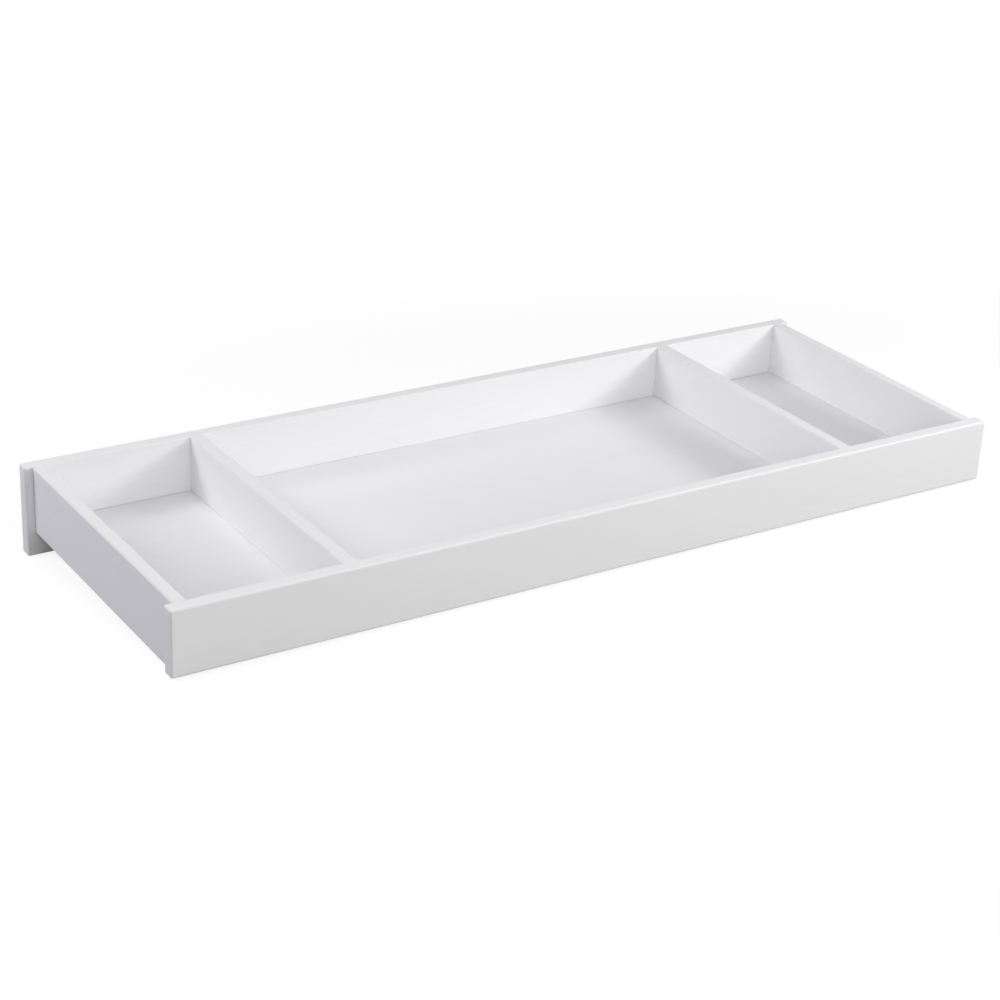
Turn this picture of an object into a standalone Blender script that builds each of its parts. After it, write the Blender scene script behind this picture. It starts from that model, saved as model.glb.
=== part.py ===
"""A three-bay changing tray that is set on top of a dresser.

Units are metres and +Z is up. The front of the tray faces -Y. The origin lies under the middle of the tray,
level with the lower edge of the back board, which hangs down behind the dresser top.
"""

import math

import bmesh
import bpy

# Overall sizes
TRAY_LENGTH = 1.370  # length of the front and back boards
TRAY_DEPTH = 0.505  # front face to rear face
RIM_HEIGHT = 0.102  # top edge of the tray above the dresser top
BACK_DROP = 0.036  # how far the back board hangs below the dresser top
FRONT_LIFT = 0.005  # clear space between the front board and the dresser top

# Boards
LONG_BOARD_THICKNESS = 0.021  # front and back boards
SIDE_THICKNESS = 0.019
DIVIDER_THICKNESS = 0.020
END_OVERHANG = 0.012  # how far the long boards run past each side board
OUTER_EASE = 0.003  # radius of the edges that show from outside
INNER_EASE_SHARE = 0.6  # the inner rim edges' share of that radius
EASE_SEGMENTS = 3

# Middle bay, made to take a standard changing pad
PAD_LENGTH = 0.813
PAD_END_CLEARANCE = 0.0035

# Floor
FLOOR_LEVEL = 0.0155  # top of the floor panel above the dresser top
FLOOR_THICKNESS = 0.005
GROOVE_DEPTH = 0.007
TONGUE_ROOM = 0.001  # space left past the floor panel's edge in its groove
RAIL_WIDTH = 0.040

# Dowels
DOWEL_RADIUS = 0.004
DOWEL_LENGTH = 0.035
DOWEL_INSET = 0.012  # the part of a dowel that stands in a long board
DOWEL_END_ROOM = 0.001  # space for glue past each end
DOWEL_LOW = 0.038  # height of the lower dowels above the dresser top
DOWEL_RIM_DEPTH = 0.022  # how far the upper dowels lie below the rim
FLUTE_DEPTH = 0.0003
DOWEL_CHAMFER = 0.001
DOWEL_SIDES = 16

# Floor screws, each with its head below
SCREW_LENGTH = 0.034
SCREW_RADIUS = 0.002
SCREW_ROOT_RADIUS = 0.0014
SCREW_PITCH = 0.0018
SCREW_TIP = 0.004
THREAD_LENGTH = 0.020
HEAD_RADIUS = 0.004
HEAD_DEPTH = 0.0026
HEAD_RIM = 0.0004  # height of the cylindrical band round the head
HEAD_SINK = 0.0008  # how far the head lies inside the rail
RECESS_REACH = 0.0024  # middle of the head to the end of one recess arm
RECESS_WIDTH = 0.0009
RECESS_DEPTH = 0.0014
SCREW_SIDES = 12
SCREW_PLACE_SHARES = (-0.4, 0.0, 0.4)  # along a divider, as shares of its length

# Holes in the back board for the screws that tie the tray to the dresser
TIE_HOLE_RADIUS = 0.0025
TIE_SINK_RADIUS = 0.005
TIE_SINK_DEPTH = 0.003
TIE_PLACE_SHARES = (-0.40, -0.15, 0.15, 0.40)  # along the back board, as shares of its length

# Fits
GAP = 0.0003  # between pieces that touch
OVERRUN = 0.002  # how far a cut runs past the face that it opens
MERGE_DISTANCE = 0.00001  # closes the tips of turned pieces

# Angles
SHARP_ANGLE = math.radians(35)  # a steeper edge is shaded as a real edge
END_RIM_ANGLE = math.radians(60)  # only a dowel's end rims are steeper
QUARTER_TURN = math.radians(90)

# Finishes: colour, roughness and metallic value
WHITE_PAINT = ((0.90, 0.90, 0.89, 1.0), 0.38, 0.0)
BARE_BEECH = ((0.72, 0.53, 0.33, 1.0), 0.65, 0.0)
ZINCED_STEEL = ((0.62, 0.62, 0.60, 1.0), 0.35, 1.0)

# Places worked out from the sizes
REST_Z = BACK_DROP  # the plane of the dresser top
RIM_Z = REST_Z + RIM_HEIGHT
FLOOR_TOP_Z = REST_Z + FLOOR_LEVEL
FLOOR_UNDER_Z = FLOOR_TOP_Z - FLOOR_THICKNESS
HALF_LENGTH = TRAY_LENGTH / 2
HALF_DEPTH = TRAY_DEPTH / 2
INNER_Y = HALF_DEPTH - LONG_BOARD_THICKNESS  # inner faces of the long boards
CROSS_Y = INNER_Y - GAP  # ends of the boards that run between them
SIDE_OUTER_X = HALF_LENGTH - END_OVERHANG
SIDE_INNER_X = SIDE_OUTER_X - SIDE_THICKNESS
SIDE_MID_X = (SIDE_OUTER_X + SIDE_INNER_X) / 2
DIVIDER_INNER_X = PAD_LENGTH / 2 + PAD_END_CLEARANCE
DIVIDER_OUTER_X = DIVIDER_INNER_X + DIVIDER_THICKNESS
DIVIDER_MID_X = (DIVIDER_INNER_X + DIVIDER_OUTER_X) / 2
TONGUE = GROOVE_DEPTH - TONGUE_ROOM

FACES = {
    "left": (-1, 0, 0),
    "right": (1, 0, 0),
    "front": (0, -1, 0),
    "back": (0, 1, 0),
    "bottom": (0, 0, -1),
    "top": (0, 0, 1),
}


def start_scene():
    """Empties the scene, then makes the tray's collection, the cutters' collection and the tray's empty."""
    for old in list(bpy.data.objects):
        bpy.data.objects.remove(old, do_unlink=True)
    tray = bpy.data.collections.new("changing_tray")
    cutters = bpy.data.collections.new("cutters")
    for made in (tray, cutters):
        bpy.context.scene.collection.children.link(made)
    cutters.hide_render = True
    root = bpy.data.objects.new("changing_tray", None)
    tray.objects.link(root)
    return tray, cutters, root


TRAY, CUTTERS, ROOT = start_scene()


def file_away(obj, collection):
    """Moves a new object out of the scene's own collection into one of ours."""
    for old in list(obj.users_collection):
        old.objects.unlink(obj)
    collection.objects.link(obj)
    if collection is CUTTERS:
        obj.hide_render = True
        obj.display_type = "WIRE"
    else:
        obj.parent = ROOT


def finish(obj, look):
    """Gives a piece its own material, with the colour, roughness and metallic value of its finish."""
    colour, roughness, metallic = look
    material = bpy.data.materials.new(obj.name + "_finish")
    material.use_nodes = True
    shader = material.node_tree.nodes["Principled BSDF"]
    shader.inputs["Base Color"].default_value = colour
    shader.inputs["Roughness"].default_value = roughness
    shader.inputs["Metallic"].default_value = metallic
    obj.data.materials.append(material)


def box(name, x_span, y_span, z_span, collection):
    """A box that fills the three spans, made as a unit cube scaled to its size."""
    spans = (x_span, y_span, z_span)
    bpy.ops.mesh.primitive_cube_add(size=1, location=[(low + high) / 2 for low, high in spans])
    obj = bpy.context.object
    obj.name = name
    obj.scale = [high - low for low, high in spans]
    bpy.ops.object.transform_apply(location=False, rotation=False, scale=True)
    file_away(obj, collection)
    return obj


def ease(obj, full, slight=()):
    """Rounds a board's edges. Each edge is named by the two faces that meet there, such as "front top"."""
    wanted = {frozenset(pair.split()): 1.0 for pair in full}
    wanted.update({frozenset(pair.split()): INNER_EASE_SHARE for pair in slight})
    shape = bmesh.new()
    shape.from_mesh(obj.data)
    weight = shape.edges.layers.float.new("bevel_weight_edge")
    for edge in shape.edges:
        meeting = frozenset(
            name
            for name, normal in FACES.items()
            for face in edge.link_faces
            if tuple(round(part) for part in face.normal) == normal
        )
        edge[weight] = wanted.get(meeting, 0.0)
    shape.to_mesh(obj.data)
    shape.free()
    bevel = obj.modifiers.new("eased edges", "BEVEL")
    bevel.limit_method = "WEIGHT"
    bevel.width = OUTER_EASE
    bevel.segments = EASE_SEGMENTS


def cut(obj, cutter):
    """Cuts one shape out of a piece."""
    boolean = obj.modifiers.new("cut by " + cutter.name, "BOOLEAN")
    boolean.operation = "DIFFERENCE"
    boolean.solver = "EXACT"
    boolean.object = cutter


def board(name, x_span, y_span, z_span):
    """One painted board of the tray."""
    obj = box(name, x_span, y_span, z_span, TRAY)
    finish(obj, WHITE_PAINT)
    return obj


def turned(name, outline, sides, collection):
    """A solid of revolution about Z. The outline is (radius, height) pairs, from the top down."""
    points = [(radius, 0, height) for radius, height in outline]
    mesh = bpy.data.meshes.new(name)
    mesh.from_pydata(points, [(i, i + 1) for i in range(len(points) - 1)], [])
    obj = bpy.data.objects.new(name, mesh)
    file_away(obj, collection)
    spin = obj.modifiers.new("turned", "SCREW")
    spin.steps = sides
    spin.render_steps = sides
    spin.use_merge_vertices = True
    spin.merge_threshold = MERGE_DISTANCE
    spin.use_smooth_shade = True
    return obj


def round_off(obj):
    """Shades a round piece smooth, apart from its real edges."""
    obj.data.shade_smooth()
    obj.data.set_sharp_from_angle(angle=SHARP_ANGLE)


def make_long_boards():
    """The front and back boards: the same length, but the back one is taller."""
    span = (-HALF_LENGTH, HALF_LENGTH)
    front = board("front_board", span, (-HALF_DEPTH, -INNER_Y), (REST_Z + FRONT_LIFT, RIM_Z))
    back = board("back_board", span, (INNER_Y, HALF_DEPTH), (0, RIM_Z))
    ends = ["left top", "right top", "left bottom", "right bottom"]
    corners = ["front left", "front right", "back left", "back right"]
    ease(front, ["front top", "front bottom"] + ends + corners, ["back top", "back bottom"])
    ease(back, ["back top", "back bottom", "front bottom"] + ends + corners, ["front top"])
    return {-1: front, 1: back}


def make_sides():
    """The two side boards, which stand on the dresser top between the long boards."""
    sides = {}
    for name, side, outer, inner in (("left", -1, "left", "right"), ("right", 1, "right", "left")):
        x_span = sorted((side * SIDE_OUTER_X, side * SIDE_INNER_X))
        made = board(name + "_side_board", x_span, (-CROSS_Y, CROSS_Y), (REST_Z, RIM_Z))
        outside = [outer + " " + face for face in ("top", "bottom", "front", "back")]
        ease(made, outside, [inner + " top", inner + " bottom"])
        sides[side] = made
    return sides


def make_dividers():
    """The two cross boards that stand on the floor panel and part the bays."""
    dividers = {}
    for name, side in (("left", -1), ("right", 1)):
        x_span = sorted((side * DIVIDER_OUTER_X, side * DIVIDER_INNER_X))
        made = board(name + "_divider", x_span, (-CROSS_Y, CROSS_Y), (FLOOR_TOP_Z + GAP, RIM_Z))
        ease(made, [], ["left top", "right top"])
        dividers[side] = made
    return dividers


def make_floor(long_boards, sides):
    """The floor panel and the grooves that hold its four edges."""
    reach_x = SIDE_INNER_X + TONGUE
    reach_y = INNER_Y + TONGUE
    floor = board("floor_panel", (-reach_x, reach_x), (-reach_y, reach_y), (FLOOR_UNDER_Z, FLOOR_TOP_Z))
    z_span = (FLOOR_UNDER_Z - GAP, FLOOR_TOP_Z + GAP)
    for side, long_board in long_boards.items():
        y_span = sorted((side * (INNER_Y - OVERRUN), side * (INNER_Y + GROOVE_DEPTH)))
        x_span = (-SIDE_INNER_X - GROOVE_DEPTH, SIDE_INNER_X + GROOVE_DEPTH)
        cut(long_board, box(long_board.name + "_groove", x_span, y_span, z_span, CUTTERS))
    for side, side_board in sides.items():
        x_span = sorted((side * (SIDE_INNER_X - OVERRUN), side * (SIDE_INNER_X + GROOVE_DEPTH)))
        y_span = (-HALF_DEPTH, HALF_DEPTH)
        cut(side_board, box(side_board.name + "_groove", x_span, y_span, z_span, CUTTERS))
    return floor


def make_rails():
    """Three flat rails under the floor panel, which pass its load to the dresser top."""
    rails = {}
    for name, side in (("left", -1), ("centre", 0), ("right", 1)):
        middle = side * DIVIDER_MID_X
        x_span = (middle - RAIL_WIDTH / 2, middle + RAIL_WIDTH / 2)
        rail = board(name + "_floor_rail", x_span, (-CROSS_Y, CROSS_Y), (REST_Z, FLOOR_UNDER_Z - GAP))
        ease(rail, [], ["left bottom", "right bottom"])
        rails[side] = rail
    return rails


def dowel_rod(name, radius, length, collection):
    """A round rod along Y, centred on its own origin."""
    shape = bmesh.new()
    bmesh.ops.create_cone(
        shape, cap_ends=True, segments=DOWEL_SIDES, radius1=radius, radius2=radius, depth=length
    )
    mesh = bpy.data.meshes.new(name)
    shape.to_mesh(mesh)
    shape.free()
    obj = bpy.data.objects.new(name, mesh)
    obj.rotation_euler.x = QUARTER_TURN
    file_away(obj, collection)
    return obj


def make_dowel(name, place):
    """A fluted dowel: every second ridge of the rod is drawn in, and its ends are chamfered."""
    dowel = dowel_rod(name, DOWEL_RADIUS, DOWEL_LENGTH, TRAY)
    in_share = 1 - FLUTE_DEPTH / DOWEL_RADIUS
    for vertex in dowel.data.vertices:
        turn = math.atan2(vertex.co.y, vertex.co.x) / math.tau * DOWEL_SIDES
        if round(turn) % 2:
            vertex.co.x *= in_share
            vertex.co.y *= in_share
    chamfer = dowel.modifiers.new("chamfered ends", "BEVEL")
    chamfer.limit_method = "ANGLE"
    chamfer.angle_limit = END_RIM_ANGLE
    chamfer.width = DOWEL_CHAMFER
    chamfer.segments = 1
    dowel.location = place
    round_off(dowel)
    finish(dowel, BARE_BEECH)


def join_with_dowels(name, cross_board, x, long_boards):
    """Two dowels at each end of a cross board, and the holes for them."""
    heights = {"low": REST_Z + DOWEL_LOW, "high": RIM_Z - DOWEL_RIM_DEPTH}
    middle_y = INNER_Y + DOWEL_INSET - DOWEL_LENGTH / 2
    for side, end in ((-1, "front"), (1, "back")):
        for level, z in heights.items():
            place = (x, side * middle_y, z)
            label = "_".join((name, end, level))
            hole = dowel_rod("hole_" + label, DOWEL_RADIUS + GAP, DOWEL_LENGTH + 2 * DOWEL_END_ROOM, CUTTERS)
            hole.location = place
            cut(long_boards[side], hole)
            cut(cross_board, hole)
            make_dowel("dowel_" + label, place)


def screw_outline():
    """The screw's outline from its tip down to its head, whose flat face is at height zero."""
    outline = [(0, SCREW_LENGTH)]
    turns = int((THREAD_LENGTH - SCREW_TIP) / SCREW_PITCH)
    crest = SCREW_LENGTH - SCREW_TIP
    for turn in range(turns):
        outline.append((SCREW_RADIUS, crest - turn * SCREW_PITCH))
        outline.append((SCREW_ROOT_RADIUS, crest - (turn + 1 / 2) * SCREW_PITCH))
    outline.append((SCREW_RADIUS, crest - turns * SCREW_PITCH))
    outline.append((SCREW_RADIUS, HEAD_DEPTH))
    outline.append((HEAD_RADIUS, HEAD_RIM))
    outline.append((HEAD_RADIUS, 0))
    outline.append((0, 0))
    return outline


def screw_hole_outline():
    """The hole for a screw, with its countersink, open below the rail."""
    return [
        (0, SCREW_LENGTH + GAP),
        (SCREW_RADIUS + GAP, SCREW_LENGTH + GAP),
        (SCREW_RADIUS + GAP, HEAD_DEPTH + GAP),
        (HEAD_RADIUS + GAP, HEAD_RIM + GAP),
        (HEAD_RADIUS + GAP, -HEAD_SINK - OVERRUN),
        (0, -HEAD_SINK - OVERRUN),
    ]


def cut_cross_recess(screw, place):
    """Two crossed slots in the middle of a screw's head."""
    x, y, z = place
    arms = {"along": (RECESS_WIDTH / 2, RECESS_REACH), "across": (RECESS_REACH, RECESS_WIDTH / 2)}
    z_span = (z - OVERRUN, z + RECESS_DEPTH)
    for way, (half_x, half_y) in arms.items():
        name = "_".join(("recess", way, screw.name))
        cut(screw, box(name, (x - half_x, x + half_x), (y - half_y, y + half_y), z_span, CUTTERS))


def make_screws(name, x, boards):
    """The screws that hold one divider: up through its rail and the floor panel."""
    for number, share in enumerate(SCREW_PLACE_SHARES, 1):
        label = f"{name}_{number}"
        place = (x, share * 2 * CROSS_Y, REST_Z + HEAD_SINK)
        screw = turned("screw_" + label, screw_outline(), SCREW_SIDES, TRAY)
        screw.location = place
        finish(screw, ZINCED_STEEL)
        cut_cross_recess(screw, place)
        hole = turned("hole_" + label, screw_hole_outline(), SCREW_SIDES, CUTTERS)
        hole.location = place
        for held in boards:
            cut(held, hole)


def make_tie_holes(back_board):
    """Countersunk holes along the hanging edge of the back board, opened from behind."""
    slope = (TIE_SINK_RADIUS - TIE_HOLE_RADIUS) / TIE_SINK_DEPTH
    outline = [
        (0, OVERRUN),
        (TIE_SINK_RADIUS + slope * OVERRUN, OVERRUN),
        (TIE_HOLE_RADIUS, -TIE_SINK_DEPTH),
        (TIE_HOLE_RADIUS, -LONG_BOARD_THICKNESS - OVERRUN),
        (0, -LONG_BOARD_THICKNESS - OVERRUN),
    ]
    for number, share in enumerate(TIE_PLACE_SHARES, 1):
        hole = turned(f"tie_hole_{number}", outline, SCREW_SIDES, CUTTERS)
        hole.rotation_euler.x = -QUARTER_TURN
        hole.location = (share * TRAY_LENGTH, HALF_DEPTH, BACK_DROP / 2)
        cut(back_board, hole)


def make_tray():
    long_boards = make_long_boards()
    sides = make_sides()
    dividers = make_dividers()
    floor = make_floor(long_boards, sides)
    rails = make_rails()
    for name, side in (("left", -1), ("right", 1)):
        join_with_dowels(name + "_side", sides[side], side * SIDE_MID_X, long_boards)
        join_with_dowels(name + "_divider", dividers[side], side * DIVIDER_MID_X, long_boards)
        make_screws(name + "_divider", side * DIVIDER_MID_X, (rails[side], floor, dividers[side]))
    make_tie_holes(long_boards[1])


make_tray()
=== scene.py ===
# %% [markdown]
# # A white changing tray
# The object is a shallow wooden tray in three bays, which turns the top of a dresser into a changing table.
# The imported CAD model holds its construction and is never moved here. This lesson makes what the eye sees:
# boards with finely eased edges, the wood that shows faintly through white paint, the fixings, and a small
# studio.
#
# Each step is a text cell, such as this one, and a short code cell that prints what it made.

import math

import bmesh
import bpy
import numpy as np
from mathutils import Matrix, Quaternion, Vector


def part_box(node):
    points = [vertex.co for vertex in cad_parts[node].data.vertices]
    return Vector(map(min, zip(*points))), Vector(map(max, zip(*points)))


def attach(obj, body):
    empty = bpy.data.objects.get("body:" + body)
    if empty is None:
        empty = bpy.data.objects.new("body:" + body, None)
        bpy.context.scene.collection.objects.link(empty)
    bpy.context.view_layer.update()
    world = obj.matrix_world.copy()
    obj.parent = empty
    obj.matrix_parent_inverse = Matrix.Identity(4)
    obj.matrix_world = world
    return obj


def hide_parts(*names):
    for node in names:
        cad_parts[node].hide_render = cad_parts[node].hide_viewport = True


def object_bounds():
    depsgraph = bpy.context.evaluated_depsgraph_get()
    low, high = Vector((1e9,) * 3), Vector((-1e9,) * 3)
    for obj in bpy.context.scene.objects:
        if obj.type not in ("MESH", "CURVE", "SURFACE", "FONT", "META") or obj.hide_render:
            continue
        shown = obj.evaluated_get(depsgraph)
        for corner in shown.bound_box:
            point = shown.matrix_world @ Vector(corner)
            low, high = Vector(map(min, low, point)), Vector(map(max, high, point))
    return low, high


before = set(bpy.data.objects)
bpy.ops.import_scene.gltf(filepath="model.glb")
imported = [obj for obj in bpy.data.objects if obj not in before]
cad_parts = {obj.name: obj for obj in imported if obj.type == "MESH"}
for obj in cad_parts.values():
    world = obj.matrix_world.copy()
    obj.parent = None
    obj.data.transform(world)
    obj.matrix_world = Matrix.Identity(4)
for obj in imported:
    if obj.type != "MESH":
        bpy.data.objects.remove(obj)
CAD_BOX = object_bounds()
MM = 1000  # millimetres in a metre
cad_size = [round(MM * side, 1) for side in CAD_BOX[1] - CAD_BOX[0]]
print("nodes:", len(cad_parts), "box in mm:", cad_size)

# %% [markdown]
# ## The camera
# A camera could be placed by its three coordinates, but those say little. Here it is aimed at a point near
# the middle of the tray's floor, then backed away along a bearing and a slope, as one would walk round a
# table. The long lens keeps the long boards nearly parallel. The small roll comes from the tray, not from
# the camera: the tray lies nose down on its hanging back board, as the next step shows.

# %% Camera
BEARING = math.radians(-33.44)  # walked round the tray from its front, towards its left end
SLOPE = math.radians(24.766)
ROLL = math.radians(2.829)
CAMERA_DISTANCE = 3.3511
LENS_MM = 81.51
SENSOR_MM = 36
AIM_ASIDE = Vector((-0.0405, -0.0047, 0.0015))  # from the middle of the tray's floor


def direction(bearing, slope):
    """The unit vector towards a bearing and a slope. Bearing 0 is straight in front of the tray."""
    level = math.cos(slope)
    return Vector((math.sin(bearing) * level, -math.cos(bearing) * level, math.sin(slope)))


panel_low, panel_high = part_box("floor_panel")
tray_middle = (panel_low + panel_high) / 2
aim = Vector((tray_middle.x, tray_middle.y, panel_high.z)) + AIM_ASIDE
backwards = direction(BEARING, SLOPE)
camera = bpy.data.objects.new("camera", bpy.data.cameras.new("camera"))
camera.data.lens = LENS_MM
camera.data.sensor_width = SENSOR_MM
camera.location = aim + backwards * CAMERA_DISTANCE
turned_to_aim = backwards.to_track_quat("Z", "Y")
camera.rotation_euler = (turned_to_aim @ Quaternion((0, 0, 1), ROLL)).to_euler()
bpy.context.scene.collection.objects.link(camera)
bpy.context.scene.camera = camera
print("camera at", [round(part, 3) for part in camera.location])

# %% [markdown]
# ## Small helpers for shader nodes
# A material is a graph of nodes. Written out in full, each node takes one line to add it and one more for
# every setting and link. One helper keeps that short: an input is given as a plain value, or as a socket to
# link from.

# %% Node helpers
NODE_STEP = 190  # pixels between nodes, so that a graph opens spread out in the editor


def put(tree, kind, inputs=(), **settings):
    """Adds a node with its settings. Inputs are a dict of name or number to a value or a socket.

    The settings come first, because they can change which inputs the node has.
    """
    made = tree.nodes.new(kind)
    made.location = (NODE_STEP * len(tree.nodes), 0)
    for name, value in settings.items():
        setattr(made, name, value)
    for name, value in dict(inputs).items():
        if isinstance(value, bpy.types.NodeSocket):
            tree.links.new(value, made.inputs[name])
        else:
            made.inputs[name].default_value = value
    return made


def maths(tree, operation, first, second=0.0, third=0.0):
    """The result of one Math node."""
    return put(tree, "ShaderNodeMath", {0: first, 1: second, 2: third}, operation=operation).outputs[0]


def stretched(tree, place, factors):
    """A vector times one factor for each axis. A pattern that reads it is squeezed by those factors."""
    return put(tree, "ShaderNodeVectorMath", {0: place, 1: factors}, operation="MULTIPLY").outputs[0]


def mixed_shader(tree, share, first, second):
    """A mix of two shader nodes. The share is a socket, and it gives the second one's part."""
    return put(tree, "ShaderNodeMixShader", {0: share, 1: first.outputs[0], 2: second.outputs[0]})


def empty_tree(owner):
    """The node tree of a new material or world, with its first nodes removed."""
    owner.use_nodes = True
    owner.node_tree.nodes.clear()
    return owner.node_tree


def looked_at(tree):
    """A mask that is 1 for rays which show the background: seen straight, in a gloss or through glass."""
    ways = put(tree, "ShaderNodeLightPath").outputs
    seen = maths(tree, "MAXIMUM", ways["Is Camera Ray"], ways["Is Glossy Ray"])
    return maths(tree, "MAXIMUM", seen, ways["Is Transmission Ray"])


print("helpers ready")

# %% [markdown]
# ## The floor of the studio
# The back board hangs 36 mm below the rest of the tray, to drop behind a dresser. Set down on a flat floor,
# the tray tips forward until the front corners of its side boards touch. The tray stays level in its own
# frame, so the floor is laid at that tilt instead, through the two lines where the wood meets it.
#
# Two tricks keep the floor a clean white. Rays from the camera see a paler mixture than the light does:
# near the tray a weak shadow stays, and further off the floor fades to the same white as the world, so no
# horizon shows. From below the floor is clear, so a low view isn't blocked by it.

# %% Floor
FLOOR_HALF_SIZE = 14.0
FLOOR_COLOUR = (0.34, 0.34, 0.34, 1)  # what the light meets
FLOOR_SEEN_COLOUR = (0.18, 0.18, 0.18, 1)  # what the camera sees of real light and shadow
FLOOR_GLOW = 0.86  # what the camera sees where no light falls
# Half the sizes of the oval, along X and Y, where the floor starts to fade to white
FADE_REACH = (1.05, 0.80)
FADE_END_SHARE = 1.6  # of those sizes, where it is all white
WHITE_GLOW = 1.0  # the strength at which a plain white glow reads as paper white


def make_floor_material():
    """A grey floor for the light, a white one with a shadow for the camera, and nothing from below."""
    material = bpy.data.materials.new("studio_floor")
    tree = empty_tree(material)
    matt = put(tree, "ShaderNodeBsdfDiffuse", {"Color": FLOOR_COLOUR})
    seen_matt = put(tree, "ShaderNodeBsdfDiffuse", {"Color": FLOOR_SEEN_COLOUR})
    seen_glow = put(tree, "ShaderNodeEmission", {"Strength": FLOOR_GLOW})
    seen_near = put(tree, "ShaderNodeAddShader", {0: seen_matt.outputs[0], 1: seen_glow.outputs[0]})
    here = put(tree, "ShaderNodeTexCoord").outputs["Object"]
    oval = stretched(tree, here, (1 / FADE_REACH[0], 1 / FADE_REACH[1], 0))
    away = put(tree, "ShaderNodeVectorMath", {0: oval}, operation="LENGTH").outputs["Value"]
    span = {"Value": away, "From Min": 1.0, "From Max": FADE_END_SHARE}
    fade = put(tree, "ShaderNodeMapRange", span, interpolation_type="SMOOTHSTEP").outputs["Result"]
    white = put(tree, "ShaderNodeEmission", {"Strength": WHITE_GLOW})
    seen = mixed_shader(tree, fade, seen_near, white)
    above = mixed_shader(tree, looked_at(tree), matt, seen)
    clear = put(tree, "ShaderNodeBsdfTransparent")
    from_below = put(tree, "ShaderNodeNewGeometry").outputs["Backfacing"]
    both = mixed_shader(tree, from_below, above, clear)
    put(tree, "ShaderNodeOutputMaterial", {"Surface": both.outputs[0]})
    return material


side_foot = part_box("left_side_board")[0]
back_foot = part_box("back_board")[0]
# The climb for each metre towards the back
floor_rise = (side_foot.z - back_foot.z) / (side_foot.y - back_foot.y)
floor_x = np.array([-1, 1, 1, -1]) * FLOOR_HALF_SIZE
floor_y = np.array([-1, -1, 1, 1]) * FLOOR_HALF_SIZE
floor_z = back_foot.z + (floor_y - back_foot.y) * floor_rise
floor_mesh = bpy.data.meshes.new("studio_floor")
floor_mesh.from_pydata(np.stack([floor_x, floor_y, floor_z], axis=1), [], [(0, 1, 2, 3)])
floor_mesh.materials.append(make_floor_material())
floor = bpy.data.objects.new("studio_floor", floor_mesh)
bpy.context.scene.collection.objects.link(floor)
print("the floor tilts by", round(math.degrees(math.atan(floor_rise)), 2), "degrees")

# %% [markdown]
# ## Light
# The shade inside the bays tells where the real lamps stood. Each divider throws a soft triangle of shade
# on the back board, so the key lamp stands to the right, a little in front, and low, with a nearer and
# weaker one beside it. The dividers' left faces are light too, and the back board shades a narrow strip of
# floor, so a second strong lamp stands behind the left end. Two lamps fill the front and one the bays from
# above. The last is a faint violet one. It stands so low at the left end that it only grazes the side board
# there, which has that tint in the photo.
#
# All are large, which makes the shades soft. The world adds a little from all round, and its white is also
# what the camera sees behind the floor.

# %% Lamps and world
WORLD_FILL = 0.162
NEUTRAL = (1.0, 1.0, 1.0)
COOL = (0.985, 0.970, 1.0)
VIOLET = (0.45, 0.35, 1.0)
# Each lamp: bearing and slope in degrees, distance and side in metres, power in watts, colour
LAMPS = {
    "key_lamp": (60, 27, 3.5, 0.8, 40.9, NEUTRAL),
    "near_lamp": (50, 32, 2.2, 0.8, 9.6, NEUTRAL),
    "front_lamp": (0, 20, 2.0, 1.0, 6.5, NEUTRAL),
    "front_left_lamp": (-30, 25, 3.0, 1.2, 15.4, NEUTRAL),
    "rear_left_lamp": (-120, 35, 3.0, 1.2, 34.5, COOL),
    "low_left_lamp": (-95, 4, 3.0, 0.3, 2.6, VIOLET),
    "top_lamp": (-90, 75, 2.2, 1.2, 6.3, NEUTRAL),
}


def make_lamp(name, bearing, slope, distance, side, power, colour):
    """A square lamp that faces the tray from a bearing and a slope, as the camera does."""
    away = direction(math.radians(bearing), math.radians(slope))
    data = bpy.data.lights.new(name, "AREA")
    data.shape = "SQUARE"
    data.size = side
    data.energy = power
    data.color = colour
    lamp = bpy.data.objects.new(name, data)
    lamp.location = tray_middle + away * distance
    lamp.rotation_euler = away.to_track_quat("Z", "Y").to_euler()
    lamp.visible_camera = False
    bpy.context.scene.collection.objects.link(lamp)


def make_world():
    """A faint light from all round, and plain white where the camera looks past the floor."""
    world = bpy.data.worlds.new("studio")
    tree = empty_tree(world)
    fill = put(tree, "ShaderNodeBackground", {"Color": (1, 1, 1, 1), "Strength": WORLD_FILL})
    white = put(tree, "ShaderNodeBackground", {"Color": (1, 1, 1, 1), "Strength": WHITE_GLOW})
    mixed = mixed_shader(tree, looked_at(tree), fill, white)
    put(tree, "ShaderNodeOutputWorld", {"Surface": mixed.outputs[0]})
    bpy.context.scene.world = world


for lamp_name, lamp_values in LAMPS.items():
    make_lamp(lamp_name, *lamp_values)
make_world()
bpy.context.scene.view_settings.view_transform = "Standard"
print("lamps:", ", ".join(LAMPS))

# %% [markdown]
# ## The figure of sawn wood
# Paint hides the colour of wood but not its relief. What shows through is the figure: growth rings, which
# are thin shells round the middle of the tree, and fibres, which run along it. A flat picture of grain
# would look wrong on the ends of a board. So the rings are worked out in space, from the distance to the
# tree's middle, and every face that is sawn through them shows its own true pattern.

# %% Wood figure group
WANDER_STRETCH = (1.1, 8.0, 8.0)  # the trunk wanders slowly along its length, and faster across it
FIBRE_STRETCH = (16.0, 620.0, 620.0)  # fibres about 60 mm long and under 2 mm wide
WANDER = 0.012  # metres that the trunk wanders from side to side, at most
USUAL_RING_SPACING = 0.005
LATE_WOOD_POWER = 3.0
NOISE_MIDDLE = 0.5  # a noise texture varies round this value


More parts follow.
